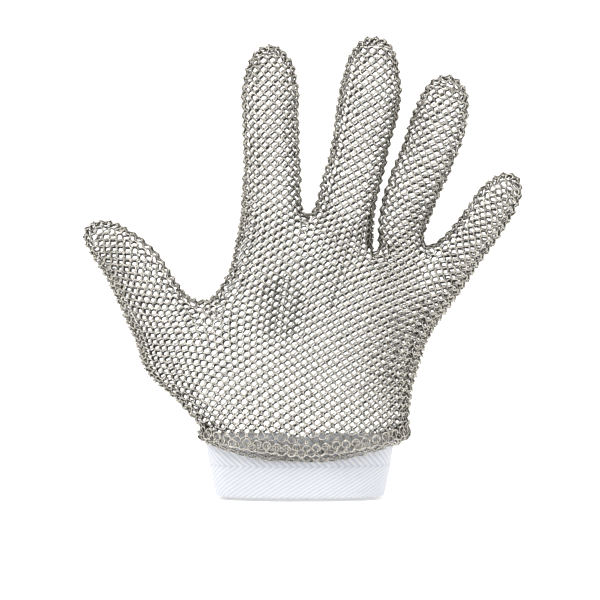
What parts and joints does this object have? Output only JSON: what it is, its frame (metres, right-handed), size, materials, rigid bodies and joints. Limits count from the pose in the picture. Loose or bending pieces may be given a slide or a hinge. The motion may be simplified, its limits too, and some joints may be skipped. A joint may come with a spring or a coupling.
{
  "type": "cut resistant glove",
  "caption": "Cut resistant glove of linked steel rings for a right hand, with fingers and thumb that bend and a woven wrist band closed by a snap.",
  "frame": {"origin": "centre of the wrist opening, in the plane of the band's lower edge", "axes": "+Z along the fingers, -Y out of the back of the hand, +Y out of the palm, -X towards the thumb"},
  "size_m": [0.1905, 0.0479, 0.1966],
  "materials": {
    "steel_mesh": "bright welded stainless steel rings",
    "band_cloth": "white herringbone webbing",
    "lining_cloth": "plain white webbing",
    "thread": "white sewing thread",
    "snap_metal": "polished nickel plate"
  },
  "bodies": {
    "cuff": {"cuff_band": "band_cloth", "cuff_lining": "lining_cloth", "mesh_hem": "steel_mesh", "mesh_back_lower": "steel_mesh", "mesh_palm_lower": "steel_mesh", "strap_anchor": "band_cloth", "strap_box_stitch": "thread", "snap_post": "snap_metal", "snap_stud": "snap_metal"},
    "knuckles": {"mesh_back_knuckles": "steel_mesh", "mesh_palm_knuckles": "steel_mesh"},
    "strap": {"strap_tab": "band_cloth", "snap_socket": "snap_metal", "snap_cap": "snap_metal"},
    "thumb_base": {"thumb_gusset": "steel_mesh"},
    "thumb_proximal": {"thumb_proximal_sleeve": "steel_mesh"},
    "thumb_end": {"thumb_tip": "steel_mesh"},
    "index_proximal": {"index_proximal_sleeve": "steel_mesh"},
    "index_middle": {"index_middle_sleeve": "steel_mesh"},
    "index_end": {"index_fingertip": "steel_mesh"},
    "middle_proximal": {"middle_proximal_sleeve": "steel_mesh"},
    "middle_middle": {"middle_middle_sleeve": "steel_mesh"},
    "middle_end": {"middle_fingertip": "steel_mesh"},
    "ring_proximal": {"ring_proximal_sleeve": "steel_mesh"},
    "ring_middle": {"ring_middle_sleeve": "steel_mesh"},
    "ring_end": {"ring_fingertip": "steel_mesh"},
    "little_proximal": {"little_proximal_sleeve": "steel_mesh"},
    "little_middle": {"little_middle_sleeve": "steel_mesh"},
    "little_end": {"little_fingertip": "steel_mesh"}
  },
  "joints": [
    {"name": "knuckle_fold", "type": "hinge", "parent": "cuff", "child": "knuckles", "pos_m": [0, 0, 0.085], "axis": [-0.9945, 0, 0.1045], "range_deg": [0, 45]},
    {"name": "index_root_bend", "type": "hinge", "parent": "knuckles", "child": "index_proximal", "pos_m": [-0.0126, 0, 0.1218], "axis": [-1, 0, 0], "range_deg": [0, 45]},
    {"name": "index_middle_bend", "type": "hinge", "parent": "index_proximal", "child": "index_middle", "pos_m": [-0.0124, 0, 0.144], "axis": [-0.9995, 0, -0.0308], "range_deg": [0, 90]},
    {"name": "index_tip_bend", "type": "hinge", "parent": "index_middle", "child": "index_end", "pos_m": [-0.0129, 0, 0.1685], "axis": [-1, 0, -0.0077], "range_deg": [0, 58.5]},
    {"name": "middle_root_bend", "type": "hinge", "parent": "knuckles", "child": "middle_proximal", "pos_m": [0.0183, 0, 0.1198], "axis": [-0.9962, 0, 0.0872], "range_deg": [0, 45]},
    {"name": "middle_middle_bend", "type": "hinge", "parent": "middle_proximal", "child": "middle_middle", "pos_m": [0.0245, 0, 0.1443], "axis": [-0.9683, 0, 0.2497], "range_deg": [0, 90]},
    {"name": "middle_tip_bend", "type": "hinge", "parent": "middle_middle", "child": "middle_end", "pos_m": [0.0302, 0, 0.1705], "axis": [-0.9854, 0, 0.1702], "range_deg": [0, 58.5]},
    {"name": "ring_root_bend", "type": "hinge", "parent": "knuckles", "child": "ring_proximal", "pos_m": [0.0439, 0, 0.1118], "axis": [-0.9903, 0, 0.1392], "range_deg": [0, 45]},
    {"name": "ring_middle_bend", "type": "hinge", "parent": "ring_proximal", "child": "ring_middle", "pos_m": [0.0506, 0, 0.1345], "axis": [-0.9359, 0, 0.3523], "range_deg": [0, 90]},
    {"name": "ring_tip_bend", "type": "hinge", "parent": "ring_middle", "child": "ring_end", "pos_m": [0.0584, 0, 0.1582], "axis": [-0.9545, 0, 0.2983], "range_deg": [0, 58.5]},
    {"name": "little_root_bend", "type": "hinge", "parent": "knuckles", "child": "little_proximal", "pos_m": [0.0695, 0, 0.1051], "axis": [-0.9563, 0, 0.2924], "range_deg": [0, 40]},
    {"name": "little_middle_bend", "type": "hinge", "parent": "little_proximal", "child": "little_middle", "pos_m": [0.0766, 0, 0.1156], "axis": [-0.8296, 0, 0.5584], "range_deg": [0, 70]},
    {"name": "little_tip_bend", "type": "hinge", "parent": "little_middle", "child": "little_end", "pos_m": [0.084, 0, 0.1267], "axis": [-0.8, 0, 0.6], "range_deg": [0, 45.5]},
    {"name": "thumb_swing", "type": "hinge", "parent": "cuff", "child": "thumb_base", "pos_m": [-0.038, 0, 0.055], "axis": [0, 0, -1], "range_deg": [0, 30]},
    {"name": "thumb_root_bend", "type": "hinge", "parent": "thumb_base", "child": "thumb_proximal", "pos_m": [-0.0626, 0, 0.0832], "axis": [-0.6276, 0.6428, -0.4393], "range_deg": [0, 40]},
    {"name": "thumb_tip_bend", "type": "hinge", "parent": "thumb_proximal", "child": "thumb_end", "pos_m": [-0.076, 0, 0.103], "axis": [-0.6128, 0.6428, -0.4596], "range_deg": [0, 60]},
    {"name": "strap_open", "type": "hinge", "parent": "cuff", "child": "strap", "pos_m": [0.01387, 0.0234, 0.0093], "axis": [0, 0, -1], "range_deg": [0, 95]}
  ],
  "couplings": [
    {"joint": "index_tip_bend", "follows": "index_middle_bend", "ratio": 0.65},
    {"joint": "middle_tip_bend", "follows": "middle_middle_bend", "ratio": 0.65},
    {"joint": "ring_tip_bend", "follows": "ring_middle_bend", "ratio": 0.65},
    {"joint": "little_tip_bend", "follows": "little_middle_bend", "ratio": 0.65}
  ]
}
